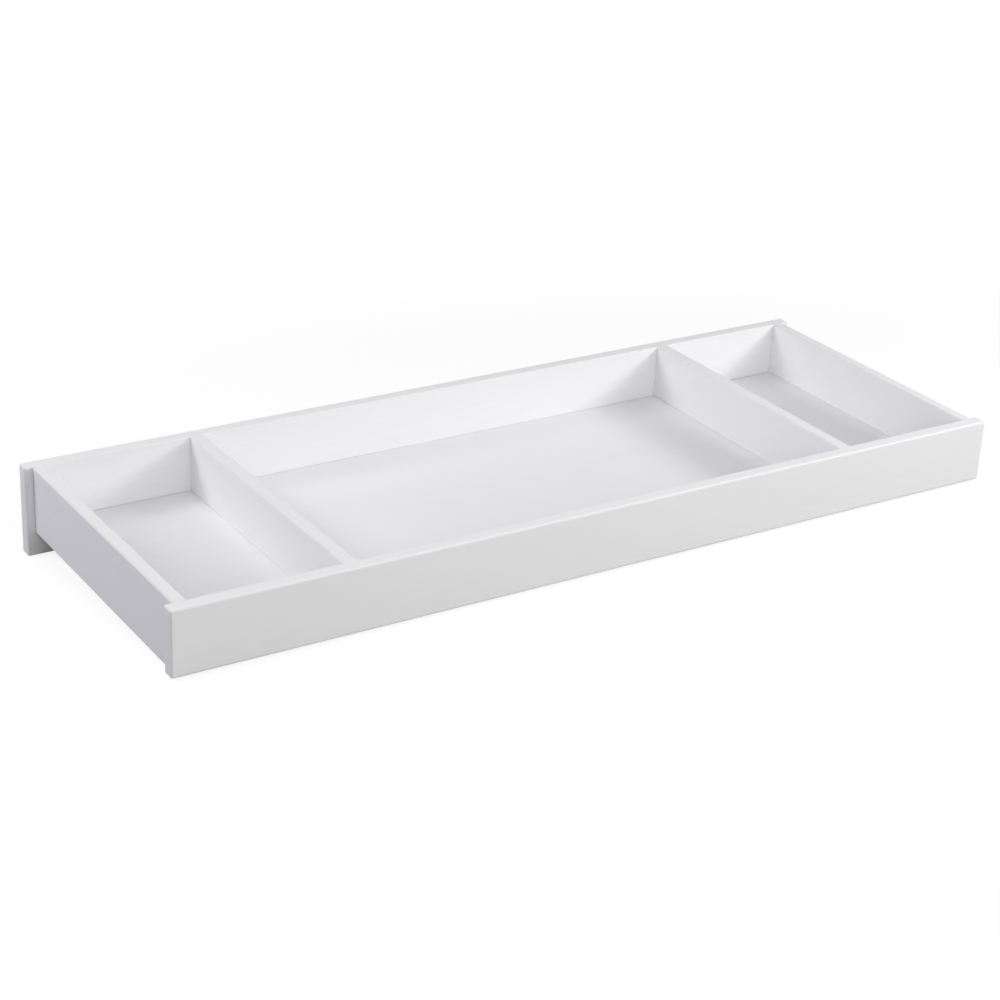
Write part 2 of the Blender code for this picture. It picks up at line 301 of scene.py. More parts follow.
def new_group(name, inputs, outputs):
    """An empty shader group and its input sockets.

    Inputs are given as (name, kind, value) and outputs as (name, kind).
    """
    group = bpy.data.node_groups.new(name, "ShaderNodeTree")
    for label, kind, value in inputs:
        socket = group.interface.new_socket(label, in_out="INPUT", socket_type="NodeSocket" + kind)
        socket.default_value = value
    for label, kind in outputs:
        group.interface.new_socket(label, in_out="OUTPUT", socket_type="NodeSocket" + kind)
    return group, put(group, "NodeGroupInput").outputs


def make_wood_figure():
    """Rings and fibres as masks from 0 to 1, for a tree whose middle is the X axis.

    The place is pushed aside by a slow noise. Its distance from the X axis is divided by the ring spacing,
    and the part after the decimal point is cubed, so each ring darkens slowly and ends sharply, as late wood
    does.
    """
    group, given = new_group(
        "wood_figure",
        [("Place", "Vector", (0, 0, 0)), ("Ring Spacing", "Float", USUAL_RING_SPACING)],
        [("Rings", "Float"), ("Fibres", "Float")],
    )
    slow_place = stretched(group, given["Place"], WANDER_STRETCH)
    slow = put(group, "ShaderNodeTexNoise", {"Vector": slow_place, "Scale": 1.0}).outputs["Color"]
    middle = (NOISE_MIDDLE, NOISE_MIDDLE, NOISE_MIDDLE)
    middling = put(group, "ShaderNodeVectorMath", {0: slow, 1: middle}, operation="SUBTRACT").outputs[0]
    push = stretched(group, middling, (WANDER, WANDER, WANDER))
    pushed = put(group, "ShaderNodeVectorMath", {0: given["Place"], 1: push}, operation="ADD").outputs[0]
    across = stretched(group, pushed, (0, 1, 1))
    off_axis = put(group, "ShaderNodeVectorMath", {0: across}, operation="LENGTH").outputs["Value"]
    count = maths(group, "DIVIDE", off_axis, given["Ring Spacing"])
    rings = maths(group, "POWER", maths(group, "FRACT", count), LATE_WOOD_POWER)
    fine_place = stretched(group, given["Place"], FIBRE_STRETCH)
    fine = put(group, "ShaderNodeTexNoise", {"Vector": fine_place, "Scale": 1.0}).outputs["Fac"]
    put(group, "NodeGroupOutput", {"Rings": rings, "Fibres": fine})
    return group


wood_figure = make_wood_figure()
print("group:", wood_figure.name)

# %% [markdown]
# ## White paint over that wood
# The real finish is a sprayed satin paint. It is nearly white and slightly cool. Close up it shows three
# things: shallow valleys where the fibres and rings lie, the fine dimples that spraying leaves, and a sheen
# that varies softly over a board. All boards share one group, and each board's material only says how its
# wood was sawn.

# %% Painted wood group
PAINT = (0.873, 0.872, 0.881, 1)
PAINT_IN_GRAIN = (0.851, 0.850, 0.860, 1)  # a little darker where the paint sinks into the grain
FIBRE_SHARE = 0.45  # of the relief, and the rest is rings
GRAIN_DEPTH = 0.000025
DIMPLE_DEPTH = 0.000006
DIMPLE_SCALE = 700.0
DIMPLE_DETAIL = 1.0
SHEEN_SCALE = 9.0
SHEEN_DETAIL = 3.0
ROUGHNESS = 0.62
ROUGHNESS_SPREAD = 0.10


def use_group(tree, group, inputs):
    """Places a group in a tree and gives its outputs."""
    return put(tree, "ShaderNodeGroup", inputs, node_tree=group).outputs


def noise(tree, place, scale, detail):
    """A noise from 0 to 1 over a place."""
    inputs = {"Vector": place, "Scale": scale, "Detail": detail}
    return put(tree, "ShaderNodeTexNoise", inputs).outputs["Fac"]


def mixed_colour(tree, share, first, second):
    """A mix of two colours. The share is a socket, and it gives the second one's part.

    A Mix node has sockets for each kind of value. Its colours go in at 6 and 7 and come out at 2.
    """
    inputs = {0: share, 6: first, 7: second}
    return put(tree, "ShaderNodeMix", inputs, data_type="RGBA").outputs[2]


def make_painted_wood():
    """The colour, roughness and height in metres of painted wood whose grain runs along X."""
    group, given = new_group(
        "painted_wood",
        [("Place", "Vector", (0, 0, 0)), ("Ring Spacing", "Float", USUAL_RING_SPACING)],
        [("Colour", "Color"), ("Roughness", "Float"), ("Height", "Float")],
    )
    place = given["Place"]
    figure = use_group(group, wood_figure, {"Place": place, "Ring Spacing": given["Ring Spacing"]})
    shares = {0: FIBRE_SHARE, 2: figure["Rings"], 3: figure["Fibres"]}
    relief = put(group, "ShaderNodeMix", shares).outputs[0]
    tint = mixed_colour(group, relief, PAINT, PAINT_IN_GRAIN)
    dimples = noise(group, place, DIMPLE_SCALE, DIMPLE_DETAIL)
    valleys = maths(group, "MULTIPLY", relief, -GRAIN_DEPTH)
    height = maths(group, "MULTIPLY_ADD", dimples, DIMPLE_DEPTH, valleys)
    uneven = maths(group, "SUBTRACT", noise(group, place, SHEEN_SCALE, SHEEN_DETAIL), NOISE_MIDDLE)
    roughness = maths(group, "MULTIPLY_ADD", uneven, ROUGHNESS_SPREAD, ROUGHNESS)
    put(group, "NodeGroupOutput", {"Colour": tint, "Roughness": roughness, "Height": height})
    return group


painted_wood = make_painted_wood()
print("group:", painted_wood.name)

# %% [markdown]
# ## One material for each board
# Object coordinates are metres in the tray's own frame. A Mapping node turns them so that X runs along the
# board, and moves them so that the X axis is the middle of the tree that the board was sawn from. Close to
# that middle the rings on a face are wide apart, further away they are narrow. A slight slant between board
# and tree draws the rings out into the long pointed arches that sawn boards have.

# %% Board materials
SLANT = math.radians(1.3)
QUARTER_TURN = math.radians(90)
GLOSS = 0.22  # a clear film would have 0.5, but the matting in a satin paint takes some of it
# Each board: the way its grain runs, the tree's middle across it and above the origin, the ring spacing
BOARD_WOOD = {
    "front_board": ("x", -0.200, 0.070, 0.0046),
    "back_board": ("x", 0.315, 0.055, 0.0052),
    "floor_panel": ("x", 0.060, -0.030, 0.0060),
    "left_side_board": ("y", -0.610, 0.105, 0.0048),
    "right_side_board": ("y", 0.725, 0.060, 0.0043),
    "left_divider": ("y", -0.365, 0.080, 0.0050),
    "right_divider": ("y", 0.480, 0.110, 0.0046),
    "left_floor_rail": ("y", -0.460, 0.000, 0.0045),
    "centre_floor_rail": ("y", 0.050, -0.010, 0.0050),
    "right_floor_rail": ("y", 0.400, 0.080, 0.0045),
}


def along_grain(tree, way, across, above):
    """Object coordinates, turned and moved so that X runs along the grain and is the middle of the tree."""
    here = put(tree, "ShaderNodeTexCoord").outputs["Object"]
    if way == "x":
        turn, shift = (0, SLANT, SLANT), (0, -across, -above)
    else:
        turn, shift = (SLANT, 0, SLANT - QUARTER_TURN), (0, across, -above)
    return put(tree, "ShaderNodeMapping", {"Vector": here, "Rotation": turn, "Location": shift}).outputs[0]


def bumped(tree, height):
    """The normal of a surface with a relief. Strength and distance of 1 keep its height in real metres."""
    return put(tree, "ShaderNodeBump", {"Height": height, "Strength": 1.0, "Distance": 1.0}).outputs[0]


def paint_board(name, way, across, above, spacing):
    """White paint over one board."""
    material = bpy.data.materials.new("white_paint_on_" + name)
    tree = empty_tree(material)
    place = along_grain(tree, way, across, above)
    film = use_group(tree, painted_wood, {"Place": place, "Ring Spacing": spacing})
    inputs = {"Base Color": film["Colour"], "Roughness": film["Roughness"], "Specular IOR Level": GLOSS}
    normal = bumped(tree, film["Height"])
    shader = put(tree, "ShaderNodeBsdfPrincipled", {**inputs, "Normal": normal})
    put(tree, "ShaderNodeOutputMaterial", {"Surface": shader.outputs[0]})
    return material


PAINTS = {name: paint_board(name, *wood) for name, wood in BOARD_WOOD.items()}
print("painted:", len(PAINTS), "boards")

# %% [markdown]
# ## A board as a section carried along its length
# A cube with bevelled edges would do from afar, but every bevel then has one width all round. Here a board
# is a surface of two parameters: one goes round its cross-section, and the other goes along it.
#
# The section is an outline of points. Each has an anchor, and a way to move for each feature of the
# section: its four rounded corners and its groove. The size of a feature may change along the board, so an
# edge can be sanded a little unevenly, and a groove can stop before the board's end.

# %% The cross-section
ARC_STEPS = 6  # straight pieces in each rounding
CORNER_CLEAR = 0.0042  # from a corner to the first grid line on a flat, which is past every rounding
GROOVE_CLEAR = 0.0015  # the same beside a groove
GRID_SPACING = 0.014
HOLE_CELLS = 6  # grid cells across the square window round a hole
PLACE_DECIMALS = 7  # of a metre, so that lines drawn twice fall together
CORNER_SIGNS = np.array([(-1, -1), (1, -1), (1, 1), (-1, 1)])
GROOVE = len(CORNER_SIGNS)  # the groove's number among the features, after the corners
QUARTER = np.linspace(0, math.pi / 2, ARC_STEPS + 1)


def grid_lines(start, end, windows=()):
    """Evenly spaced places from start to end, with a fixed count of cells in each (low, high) window."""
    lines = []
    for low, high in [*windows, (end, end)]:
        cells = math.ceil((low - start) / GRID_SPACING)
        lines += [np.linspace(start, low, cells + 1), np.linspace(low, high, HOLE_CELLS + 1)]
        start = high
    return np.unique(np.round(np.concatenate(lines), PLACE_DECIMALS))


def with_groove(marks, bottom, top):
    """A flat's marks with a groove's edges put in, each twice, and a 1 for those that sink to its bottom."""
    below, above = marks[marks < bottom - GROOVE_CLEAR], marks[marks > top + GROOVE_CLEAR]
    sunk = np.concatenate([0 * below, [0, 1, 1, 0], 0 * above])
    return np.concatenate([below, [bottom, bottom, top, top], above]), sunk


def board_section(low, high, groove, windows):
    """The outline of a section, anticlockwise from its first corner: (anchors, ways).

    The windows are two lists of (low, high), for the flats that run across and for those that run up.

    With radius r, the point at angle f of a corner moves by r times (cos f - sx, sin f - sy), where sx and
    sy are the corner's signs. That is a quarter circle which touches both flats. A groove's inner points
    move straight in.
    """
    anchors, ways = [], []
    for number, signs in enumerate(CORNER_SIGNS):
        corner = np.where(signs > 0, high, low)
        angle = math.pi + number * math.pi / 2 + QUARTER
        rounding = np.zeros((GROOVE + 1, len(angle), 2))
        rounding[number] = np.stack([np.cos(angle), np.sin(angle)], axis=1) - signs
        axis = number % 2  # the next flat runs across where this is 0, and up or down where it is 1
        marks = grid_lines(low[axis] + CORNER_CLEAR, high[axis] - CORNER_CLEAR, windows[axis])
        sunk = np.zeros(len(marks))
        if groove and groove[0] == number:
            marks, sunk = with_groove(marks, *groove[1:])
        onwards = slice(None, None, 1 if number < 2 else -1)
        flat = np.tile(corner, (len(marks), 1))
        flat[:, axis] = marks[onwards]
        sinking = np.zeros((GROOVE + 1, len(marks), 2))
        sinking[GROOVE, :, 1 - axis] = -signs[1 - axis] * sunk[onwards]
        anchors += [np.tile(corner, (len(angle), 1)), flat]
        ways += [rounding, sinking]
    return np.concatenate(anchors), np.concatenate(ways, axis=1)


print("a rounding has", ARC_STEPS, "steps")

# %% [markdown]
# ## Rings along the board
# Copies of the section stand along the board like ribs. At each end they crowd together and draw in, which
# rounds the end's edges. Where a groove stops, two ribs stand in the same place, one without the groove and
# one with it, and the faces between them are the groove's end wall.

# %% The rings
UNEVEN_SHARE = 0.05  # how much each of the waves below changes a sanded radius
UNEVEN_WAVES = (7.0, 17.0, 41.0)  # radians for each metre of board


def board_rings(half_length, end_ease, groove_half, windows=()):
    """Places of the rings along a board, and a 1 for those that have the groove.

    At an end, angle f of the rounding puts a ring at r less r cos f from the end.
    """
    rounding = half_length - end_ease * (1 - np.cos(QUARTER[::-1]))
    inner = half_length - CORNER_CLEAR
    if groove_half > half_length:
        places = np.concatenate([-rounding[::-1], grid_lines(-inner, inner, windows), rounding])
        return places, np.ones(len(places))
    beyond = np.concatenate([grid_lines(groove_half, inner), rounding])
    grooved = grid_lines(-groove_half, groove_half, windows)
    places = np.concatenate([-beyond[::-1], grooved, beyond])
    return places, np.concatenate([0 * beyond, 1 + 0 * grooved, 0 * beyond])


def drawn_in(depth, radius):
    """How far a rounded edge stands in from its face, at a depth d: r less the root of r² - (r - d)²."""
    return radius - np.sqrt(np.maximum(radius**2 - np.maximum(radius - depth, 0) ** 2, 0))


def sanded(places, corner):
    """A corner's radius along the board, as shares of its nominal size: 1 plus three slow sine waves."""
    waves = [UNEVEN_SHARE * np.sin(wave * places + corner * wave) for wave in UNEVEN_WAVES]
    return 1 + np.sum(waves, axis=0)


def board_points(low, high, radii, end_eases, half_length, groove_depth, section, rings):
    """The points of all rings, as an array of ring by point by (across, up).

    Each side of a ring is drawn in by its own amount, shared out linearly from side to side. Then each
    feature's size, times its way, is added. A corner's radius gives up what its two sides have been drawn
    in by.
    """
    anchors, ways = section
    places, grooved = rings
    depth = half_length - np.abs(places)
    # ring by low or high side by across or up
    inset = drawn_in(depth[:, None, None], np.array(end_eases))
    share = (anchors - low) / (high - low)
    sizes = np.zeros((len(places), GROOVE + 1))
    for corner, signs in enumerate(CORNER_SIGNS):
        taken = inset[:, (signs > 0).astype(int), [0, 1]].min(axis=1)
        sizes[:, corner] = np.maximum(radii[corner] * sanded(places, corner) - taken, 0)
    sizes[:, GROOVE] = groove_depth * grooved
    base = anchors + inset[:, :1] * (1 - share) - inset[:, 1:] * share
    return base + np.einsum("rf,fpc->rpc", sizes, ways)


print("a sanded edge varies by up to", round(100 * UNEVEN_SHARE * len(UNEVEN_WAVES)), "%")

# %% [markdown]
# ## From points to a closed mesh
# The grid's faces join each ring to the next. Where points coincide, such as at a groove's end, welding
# removes the faces that have no area. The boards that run between the long ones get a lip: the topmost few
# millimetres of each end reach on, over the long board's rounded inner edge. It makes the rims meet flush,
# as the filled and sanded joints of the real tray do, and leaves the fine upright line where the two boards
# meet.

# %% Mesh from points
MERGE_DISTANCE = 0.000001
SHARP_ANGLE = math.radians(30)


def ring_faces(ring_count, point_count):
    """Quads between neighbouring rings, as rows of 4 point numbers."""
    ring, point = np.meshgrid(np.arange(ring_count - 1), np.arange(point_count), indexing="ij")
    after = (point + 1) % point_count
    corners = [(ring, point), (ring, after), (ring + 1, after), (ring + 1, point)]
    return np.stack([row * point_count + column for row, column in corners], axis=-1).reshape(-1, 4)


def end_faces(numbers, raised):
    """The faces that close an end ring. With a lip they are the end, the lip and the ramp between them."""
    if not raised.any():
        return [numbers.tolist()]
    first, last = np.flatnonzero(raised)[[0, -1]]
    ramp = [int(numbers[index]) for index in (first - 1, first, last, last + 1)]
    return [numbers[~raised].tolist(), numbers[raised].tolist(), ramp]


def closed_mesh(name, vertices, faces):
    """A mesh with its doubled points welded, its faces pointing out and its real edges marked sharp."""
    mesh = bpy.data.meshes.new(name)
    mesh.from_pydata(vertices, [], faces)
    shape = bmesh.new()
    shape.from_mesh(mesh)
    bmesh.ops.remove_doubles(shape, verts=shape.verts, dist=MERGE_DISTANCE)
    bmesh.ops.dissolve_degenerate(shape, edges=shape.edges, dist=MERGE_DISTANCE)
    bmesh.ops.recalc_face_normals(shape, faces=shape.faces)
    open_edges = sum(not edge.is_manifold for edge in shape.edges)
    shape.to_mesh(mesh)
    shape.free()
    mesh.shade_smooth()
    mesh.set_sharp_from_angle(angle=SHARP_ANGLE)
    print(name, "has", len(mesh.polygons), "faces and", open_edges, "open edges")
    return mesh


def add_piece(name, mesh, material, node):
    """Puts a finished mesh in the scene as what shows of one CAD node."""
    piece = bpy.data.objects.new(name, mesh)
    mesh.materials.append(material)
    bpy.context.scene.collection.objects.link(piece)
    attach(piece, "root")
    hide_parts(node)
    return piece


print("edges steeper than", round(math.degrees(SHARP_ANGLE)), "degrees stay sharp")

# %% [markdown]
# ## Countersunk holes
# Screws through the hanging edge of the back board tie the tray to a dresser, and others come up through
# the outer rails into the dividers. A Boolean could cut their holes, but it leaves long thin faces that
# shade badly. Here the grid already has a square window at each hole. Its faces are left out, and a lining
# of rings takes their place: from the square window to a circle on one face, down the bore and the
# countersink, and out to the square window on the other face.

# %% Countersunk holes
HOLE_WINDOW = 0.007  # half the side of the square
HOLE_RIM = 0.0002  # the paint's own rounding round a hole

side_steps = np.linspace(-1, 1, HOLE_CELLS + 1)[:-1]
UNIT_SQUARE = np.concatenate(
    [
        np.stack([side_steps, np.full(HOLE_CELLS, -1)], axis=1),
        np.stack([np.full(HOLE_CELLS, 1), side_steps], axis=1),
        np.stack([-side_steps, np.full(HOLE_CELLS, 1)], axis=1),
        np.stack([np.full(HOLE_CELLS, -1), -side_steps], axis=1),
    ]
)
UNIT_CIRCLE = UNIT_SQUARE / np.linalg.norm(UNIT_SQUARE, axis=1)[:, None]


def hole_profile(start, end, bore_radius, sink_radius, cone_depth, straight_depth):
    """(depth, radius) down a hole from its narrow mouth at start to its wide mouth at end.

    The cone lies between two depths below the wide mouth. The hole is straight on both sides of it.
    """
    onwards = math.copysign(1, end - start)
    return [
        (start, bore_radius + HOLE_RIM),
        (start + onwards * HOLE_RIM, bore_radius),
        (end - onwards * cone_depth, bore_radius),
        (end - onwards * straight_depth, sink_radius),
        (end - onwards * HOLE_RIM, sink_radius),
        (end, sink_radius + HOLE_RIM),
    ]


def hole_lining(place, axes, profile):
    """Rings of one hole, from its window on one face to its window on the other: ring by point by 3.

    A ring is the unit square times half the window, or the unit circle times a radius. It lies at its own
    depth along the last of the three axes.
    """
    window = UNIT_SQUARE * HOLE_WINDOW
    flat_rings = [window, *(UNIT_CIRCLE * radius for _, radius in profile), window]
    depths = [profile[0][0], *(depth for depth, _ in profile), profile[-1][0]]
    points = np.zeros((len(flat_rings), len(UNIT_SQUARE), 3))
    points[..., axes[:2]] = np.stack(flat_rings) + place
    points[..., axes[2]] = np.array(depths)[:, None]
    return points


def open_holes(vertices, quads, places, axes, profile):
    """Leaves out the faces inside each hole's window, and adds the holes' linings."""
    middles = vertices[quads].mean(axis=1)[:, axes[:2]]
    for place in places:
        off = np.abs(middles - place).max(axis=1)
        quads, middles = quads[off > HOLE_WINDOW], middles[off > HOLE_WINDOW]
    for place in places:
        lining = hole_lining(place, axes, profile)
        quads = np.concatenate([quads, ring_faces(*lining.shape[:2]) + len(vertices)])
        vertices = np.concatenate([vertices, lining.reshape(-1, 3)])
    return vertices, quads


print("a hole has", len(UNIT_SQUARE), "sides")

# %% [markdown]
# ## The boards and rails
# Each board takes its place and size from the CAD node that it replaces. What differs is listed below: the
# radius of each edge, where the groove for the floor runs, the holes, and whether it has lips. Edges that a
# hand or a baby may touch are rounder than the inner ones, which only had their sharpness taken off.

# %% Boards
OUTER_EASE = 0.003
INNER_EASE = 0.0018
BARE_EASE = 0.0006  # edges that were only rubbed over before painting
JOINT_EASE = 0.0005  # the upright edges where a cross board butts against a long one
JOINT_GAP = 0.0003  # between pieces that touch, and below the floor panel in its groove
FLOOR_SEAM = 0.0005  # above the panel, where the groove shows as a fine dark line
GROOVE_DEPTH = 0.007
LOW_FLAT, HIGH_FLAT = 3, 1  # the numbers of the section's upright flats

TIE_PLACE_SHARES = (-0.40, -0.15, 0.15, 0.40)  # along the back board, as shares of its length
TIE_HOLE_RADIUS = 0.0025
TIE_SINK_RADIUS = 0.005
TIE_SINK_DEPTH = 0.003
tie_z = side_foot.z / 2  # halfway up the hanging edge
back_span = [corner.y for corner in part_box("back_board")]
TIE_HOLES = {
    "places": [(share * 2 * -back_foot.x, tie_z) for share in TIE_PLACE_SHARES],
    "axes": (0, 2, 1),
    "profile": hole_profile(*back_span, TIE_HOLE_RADIUS, TIE_SINK_RADIUS, TIE_SINK_DEPTH, HOLE_RIM),
}

SCREW_RADIUS = 0.0020
HEAD_RADIUS = 0.0040
HEAD_DEPTH = 0.0026
HEAD_RIM = 0.0004  # height of the straight band round the head
HEAD_SINK = 0.0008  # how far the head lies inside the rail
rail_span = [corner.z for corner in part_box("left_floor_rail")]
SCREW_HOLE = hole_profile(
    *rail_span[::-1],
    SCREW_RADIUS + JOINT_GAP,
    HEAD_RADIUS + JOINT_GAP,
    HEAD_SINK + HEAD_DEPTH + JOINT_GAP,
    HEAD_SINK + HEAD_RIM + JOINT_GAP,
)


def screw_holes(side):
    """The holes of one outer rail, each in line with its screw."""
    middles = [sum(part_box(f"screw_{side}_divider_{number}"), Vector()) / 2 for number in (1, 2, 3)]
    places = [(middle.y, middle.x) for middle in middles]
    return {"places": places, "axes": (1, 0, 2), "profile": SCREW_HOLE}


# Radii go round the section from its low low corner. The easing of the ends has an (across, up) pair for the
# low side and bottom, and one for the high side and top.
OUTER_END = (OUTER_EASE, OUTER_EASE)
OUTER_SIDE, INNER_SIDE = (OUTER_EASE, 0), (JOINT_EASE, 0)
BARE_END = (BARE_EASE, BARE_EASE)
DIVIDER = {
    "radii": (BARE_EASE, BARE_EASE, INNER_EASE, INNER_EASE),
    "end_eases": (INNER_SIDE, INNER_SIDE),
    "has_lips": True,
}
RAIL = {"radii": (INNER_EASE, INNER_EASE, BARE_EASE, BARE_EASE), "end_eases": (BARE_END, BARE_END)}
BOARDS = {
    "front_board": {
        "radii": (OUTER_EASE, INNER_EASE, INNER_EASE, OUTER_EASE),
        "end_eases": (OUTER_END, OUTER_END),
        "grooved_flat": HIGH_FLAT,
    },
    "back_board": {
        "radii": (OUTER_EASE, OUTER_EASE, OUTER_EASE, INNER_EASE),
        "end_eases": (OUTER_END, OUTER_END),
        "grooved_flat": LOW_FLAT,
        "holes": TIE_HOLES,
    },
    "left_side_board": {
        "radii": (OUTER_EASE, INNER_EASE, INNER_EASE, OUTER_EASE),
        "end_eases": (OUTER_SIDE, INNER_SIDE),
        "grooved_flat": HIGH_FLAT,
        "has_lips": True,
    },
    "right_side_board": {
        "radii": (INNER_EASE, OUTER_EASE, OUTER_EASE, INNER_EASE),
        "end_eases": (INNER_SIDE, OUTER_SIDE),
        "grooved_flat": LOW_FLAT,
        "has_lips": True,
    },
    "left_divider": DIVIDER,
    "right_divider": DIVIDER,
    "left_floor_rail": {**RAIL, "holes": screw_holes("left")},
    "centre_floor_rail": RAIL,
    "right_floor_rail": {**RAIL, "holes": screw_holes("right")},
}
groove_span = (panel_low.z - JOINT_GAP, panel_high.z + FLOOR_SEAM)
groove_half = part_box("right_side_board")[0].x + GROOVE_DEPTH


def make_board(name, radii, end_eases, grooved_flat=None, holes=None, has_lips=False):
    """One board, from its node's box: its section, its rings, its lips or holes, and its mesh."""
    low, high = (np.array(corner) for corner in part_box(name))
    length_axis = int(np.argmax(high - low))
    section_axes = [1 - length_axis, 2]
    groove = None if grooved_flat is None else (grooved_flat, *groove_span)
    section_windows, windows_along = [(), ()], ()
    if holes:
        windows_along = [(along - HOLE_WINDOW, along + HOLE_WINDOW) for along, _ in holes["places"]]
        level = holes["places"][0][1]
        crossing = section_axes.index(holes["axes"][1])
        section_windows[crossing] = [(level - HOLE_WINDOW, level + HOLE_WINDOW)]
    sides = low[section_axes], high[section_axes]
    section = board_section(*sides, groove, section_windows)
    groove_end = groove_half if length_axis == 0 else math.inf
    rings = board_rings(high[length_axis], np.max(end_eases), groove_end, windows_along)
    eases = radii, end_eases
    points = board_points(*sides, *eases, high[length_axis], GROOVE_DEPTH, section, rings)
    grid = np.zeros((*points.shape[:2], 3))
    grid[..., section_axes] = points
    grid[..., length_axis] = rings[0][:, None]
    raised = (points[0, :, 1] > high[2] - CORNER_CLEAR / 2) & has_lips
    lip = JOINT_GAP + INNER_EASE
    grid[0, raised, length_axis] -= lip
    grid[-1, raised, length_axis] += lip
    vertices, quads = grid.reshape(-1, 3), ring_faces(*points.shape[:2])
    if holes:
        vertices, quads = open_holes(vertices, quads, **holes)
    numbers = np.arange(points.shape[1])
    last_numbers = numbers + numbers.size * (points.shape[0] - 1)
    ends = end_faces(numbers, raised) + end_faces(last_numbers, raised)
    mesh = closed_mesh("painted_" + name, vertices, quads.tolist() + ends)
    return add_piece("painted_" + name, mesh, PAINTS[name], name)


boards = [make_board(name, **shape) for name, shape in BOARDS.items()]
print("boards and rails:", len(boards))

# %% [markdown]
# ## Zinced screws
# A screw could be turned from a profile with the Screw modifier, but then its thread is a stack of separate
# rings. A real thread is one ridge that climbs by its pitch in each turn. So the screw is a surface of two
# parameters, the angle round it and the height along it, and its radius depends on both. The cross recess
# in the head is made of the same angles, because a plus sign has one radius for each angle too.

# %% Screw shape
SCREW_PITCH = 0.0018
SCREW_ROOT_RADIUS = 0.0014
SCREW_TIP = 0.004
THREAD_LENGTH = 0.020
RIDGE_SHARE = 0.26  # half the ridge's foot, as a share of the pitch
RINGS_PER_PITCH = 16
HEAD_EDGE = 0.0001
RECESS_REACH = 0.0024  # middle of the head to the end of one recess arm
RECESS_WIDTH = 0.0009
RECESS_DEPTH = 0.0014
# Rings down the recess: how deep, and how wide against the recess's mouth
RECESS_SHARES = ((0, 1), (0.06, 0.95), (0.85, 0.72), (1, 0.3), (1, 0))
ARM_STEPS, CORNER_STEPS = 2, 2  # between an arm's middle and its corner, and from there to the inner corner

arm_angle = math.atan2(RECESS_WIDTH / 2, RECESS_REACH)
steps = (0, ARM_STEPS, ARM_STEPS + CORNER_STEPS)
eighth = np.interp(np.arange(steps[-1] + 1), steps, (0, arm_angle, math.pi / 4))
fourth = np.concatenate([eighth, math.pi / 2 - eighth[-2:0:-1]])
SCREW_ANGLES = np.concatenate([fourth + turn * math.pi / 2 for turn in range(4)])


def threaded_radius(heights, length):
    """The radius by ring and angle of the part above the head, for heights measured from the head's face.

    The ridge is a triangle wave of the height over the pitch less the share of a turn, so it climbs with
    the angle. It is added to a core, and both narrow to nothing over the tip.
    """
    thread_start = length - THREAD_LENGTH
    core_heights = (thread_start, thread_start + SCREW_PITCH, length - SCREW_TIP, length)
    core = np.interp(heights, core_heights, (SCREW_RADIUS, SCREW_ROOT_RADIUS, SCREW_ROOT_RADIUS, 0))
    crest = np.interp(heights, (length - SCREW_TIP, length), (SCREW_RADIUS, 0))
    climb = np.mod(heights[:, None] / SCREW_PITCH - SCREW_ANGLES / (2 * math.pi), 1)
    ridge = np.maximum(1 - np.abs(climb - 0.5) / RIDGE_SHARE, 0)
    return core[:, None] + (crest - core)[:, None] * ridge


def cross_radius():
    """A plus sign: the longer reach of two crossed bars, each cut off by its end and by its side."""
    along, aside = np.abs(np.cos(SCREW_ANGLES)), np.abs(np.sin(SCREW_ANGLES))
    half = RECESS_WIDTH / 2
    with np.errstate(divide="ignore"):
        level = np.minimum(RECESS_REACH / along, half / aside)
        upright = np.minimum(RECESS_REACH / aside, half / along)
    return np.maximum(level, upright)


def screw_points(length):
    """A screw that stands on its head: ring by angle by 3, from the tip down to the bottom of the recess."""
    heights = np.arange(length, length - THREAD_LENGTH, -SCREW_PITCH / RINGS_PER_PITCH)
    radius = threaded_radius(heights, length)
    head_heights = [HEAD_DEPTH, HEAD_RIM, HEAD_EDGE, 0]
    head_radii = np.array([SCREW_RADIUS, HEAD_RADIUS, HEAD_RADIUS, HEAD_RADIUS - HEAD_EDGE])
    head = np.repeat(head_radii[:, None], len(SCREW_ANGLES), axis=1)
    recess = np.array(RECESS_SHARES)
    all_radii = np.concatenate([radius, head, recess[:, 1:] * cross_radius()])
    all_heights = np.concatenate([heights, head_heights, recess[:, 0] * RECESS_DEPTH])
    x, y = all_radii * np.cos(SCREW_ANGLES), all_radii * np.sin(SCREW_ANGLES)
    return np.stack([x, y, np.broadcast_to(all_heights[:, None], x.shape)], axis=-1)


print("a screw has", len(SCREW_ANGLES), "points round it")

# %% [markdown]
# Zinc gives steel a dull grey coat with cloudy patches, some smoother than others. Seen close up, that
# cloudiness is what makes it look like metal and not like grey paint.

# %% Screws
ZINC_PALE = (0.70, 0.71, 0.72, 1)
ZINC_DARK = (0.52, 0.54, 0.57, 1)
ZINC_CLOUD_SCALE = 420.0
ZINC_CLOUD_DETAIL = 4.0
ZINC_ROUGHNESS = 0.34
ZINC_ROUGHNESS_SPREAD = 0.22


def make_zinc():
    """Grey metal whose colour and roughness vary together in cloudy patches."""
    material = bpy.data.materials.new("zinced_steel")
    tree = empty_tree(material)
    here = put(tree, "ShaderNodeTexCoord").outputs["Object"]
    clouds = noise(tree, here, ZINC_CLOUD_SCALE, ZINC_CLOUD_DETAIL)
    colour = mixed_colour(tree, clouds, ZINC_PALE, ZINC_DARK)
    uneven = maths(tree, "SUBTRACT", clouds, NOISE_MIDDLE)
    roughness = maths(tree, "MULTIPLY_ADD", uneven, ZINC_ROUGHNESS_SPREAD, ZINC_ROUGHNESS)
    inputs = {"Base Color": colour, "Roughness": roughness, "Metallic": 1.0}
    shader = put(tree, "ShaderNodeBsdfPrincipled", inputs)
    put(tree, "ShaderNodeOutputMaterial", {"Surface": shader.outputs[0]})
    return material


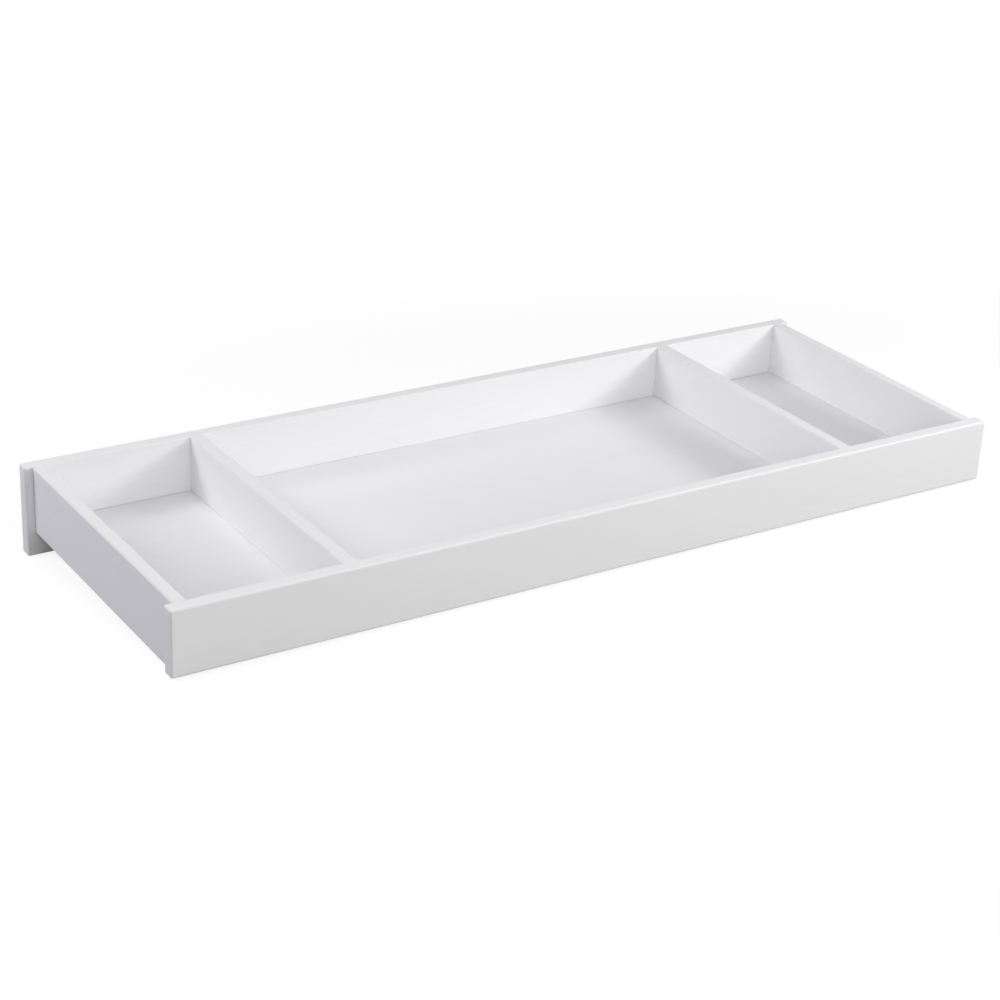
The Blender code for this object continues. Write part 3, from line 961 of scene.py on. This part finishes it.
def make_screw(node_name, material):
    """One screw, in the middle of its node's box and as long as the box is high."""
    low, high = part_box(node_name)
    points = screw_points(high.z - low.z) + ((low.x + high.x) / 2, (low.y + high.y) / 2, low.z)
    quads = ring_faces(*points.shape[:2]).tolist()
    mesh = closed_mesh("threaded_" + node_name, points.reshape(-1, 3), quads)
    return add_piece("threaded_" + node_name, mesh, material, node_name)


zinc = make_zinc()
screws = [make_screw(name, zinc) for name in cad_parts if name.startswith("screw_")]
print("screws:", len(screws))

# %% [markdown]
# ## Beech, and what the CAD model already shows well
# The floor panel is a plain flat board and the dowels are fluted pegs, so their CAD nodes stay. The floor
# panel is painted. The dowels are bare beech, with the same figure of rings and fibres as the painted
# boards, but in the wood's own colours.

# %% Materials of the carried-over nodes
BEECH_PALE = (0.66, 0.46, 0.28, 1)
BEECH_DARK = (0.50, 0.31, 0.17, 1)
BEECH_RING_SPACING = 0.0022
BEECH_RING_SHARE = 0.4
BEECH_ROUGHNESS = 0.62
BEECH_RELIEF = 0.00003
BEECH_TREE = (0.0, 0.02)  # where the middle of the dowels' tree lies


def make_beech():
    """Bare wood, darker where its rings and fibres lie and a little lower at the fibres."""
    material = bpy.data.materials.new("bare_beech")
    tree = empty_tree(material)
    place = along_grain(tree, "y", *BEECH_TREE)
    figure = use_group(tree, wood_figure, {"Place": place, "Ring Spacing": BEECH_RING_SPACING})
    rings = maths(tree, "MULTIPLY", figure["Rings"], BEECH_RING_SHARE)
    darkness = maths(tree, "MULTIPLY_ADD", figure["Fibres"], 1 - BEECH_RING_SHARE, rings)
    colour = mixed_colour(tree, darkness, BEECH_PALE, BEECH_DARK)
    depth = maths(tree, "MULTIPLY", figure["Fibres"], -BEECH_RELIEF)
    normal = bumped(tree, depth)
    inputs = {"Base Color": colour, "Roughness": BEECH_ROUGHNESS, "Normal": normal}
    shader = put(tree, "ShaderNodeBsdfPrincipled", inputs)
    put(tree, "ShaderNodeOutputMaterial", {"Surface": shader.outputs[0]})
    return material


beech = make_beech()
for node_name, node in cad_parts.items():
    kind = node_name.split("_")[0]
    node.material_slots[0].material = {"dowel": beech, "screw": zinc}.get(kind, PAINTS.get(node_name))
print("finished:", len(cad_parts), "nodes")
